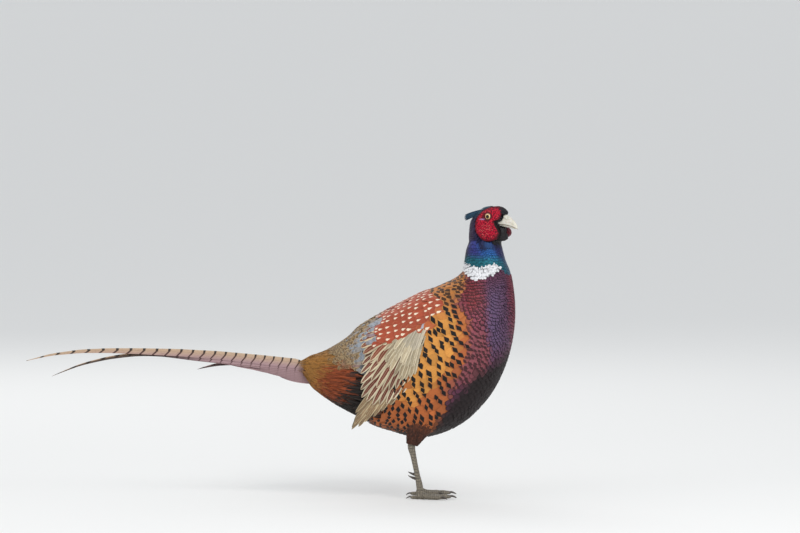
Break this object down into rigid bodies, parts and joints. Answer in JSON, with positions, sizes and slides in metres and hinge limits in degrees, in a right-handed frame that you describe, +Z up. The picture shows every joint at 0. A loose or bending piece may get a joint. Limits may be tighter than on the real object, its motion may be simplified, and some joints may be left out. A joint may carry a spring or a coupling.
{
  "type": "common pheasant cock, standing model",
  "caption": "Life-size standing common pheasant cock with drooping folded wings, red face, white neck ring and a long pointed barred tail.",
  "frame": {"origin": "on the floor, under the middle of the bird's length, width and height box", "axes": "+X forward, along the body towards the bill; +Y to the bird's left; +Z up"},
  "size_m": [0.7859, 0.1622, 0.4678],
  "materials": {
    "body_feathers": "small feathers",
    "neck_feathers": "glossy blue-green feathers",
    "red_face": "grained bare skin",
    "eye": "wet gloss",
    "bill_horn": "satin horn",
    "wing_feathers": "flight feathers",
    "tail_feathers": "tail feathers",
    "thigh_feathers": "soft feathers",
    "leg_scales": "scaled skin",
    "claw_horn": "satin horn"
  },
  "bodies": {
    "root": {"head": "neck_feathers", "neck": "neck_feathers", "torso": "body_feathers", "rump": "body_feathers", "wattle_right": "red_face", "wattle_left": "red_face", "eye_right": "eye", "eye_left": "eye", "bill_upper": "bill_horn", "bill_lower": "bill_horn", "ear_tuft_right": "neck_feathers", "ear_tuft_left": "neck_feathers", "wing_right": "wing_feathers", "wing_left": "wing_feathers", "tail": "tail_feathers", "thigh_right": "thigh_feathers", "shank_right": "leg_scales", "foot_right": "leg_scales", "spur_right": "claw_horn", "claw_right_inner": "claw_horn", "claw_right_middle": "claw_horn", "claw_right_outer": "claw_horn", "claw_right_hind": "claw_horn", "thigh_left": "thigh_feathers", "shank_left": "leg_scales", "foot_left": "leg_scales", "spur_left": "claw_horn", "claw_left_inner": "claw_horn", "claw_left_middle": "claw_horn", "claw_left_outer": "claw_horn", "claw_left_hind": "claw_horn"}
  },
  "joints": []
}
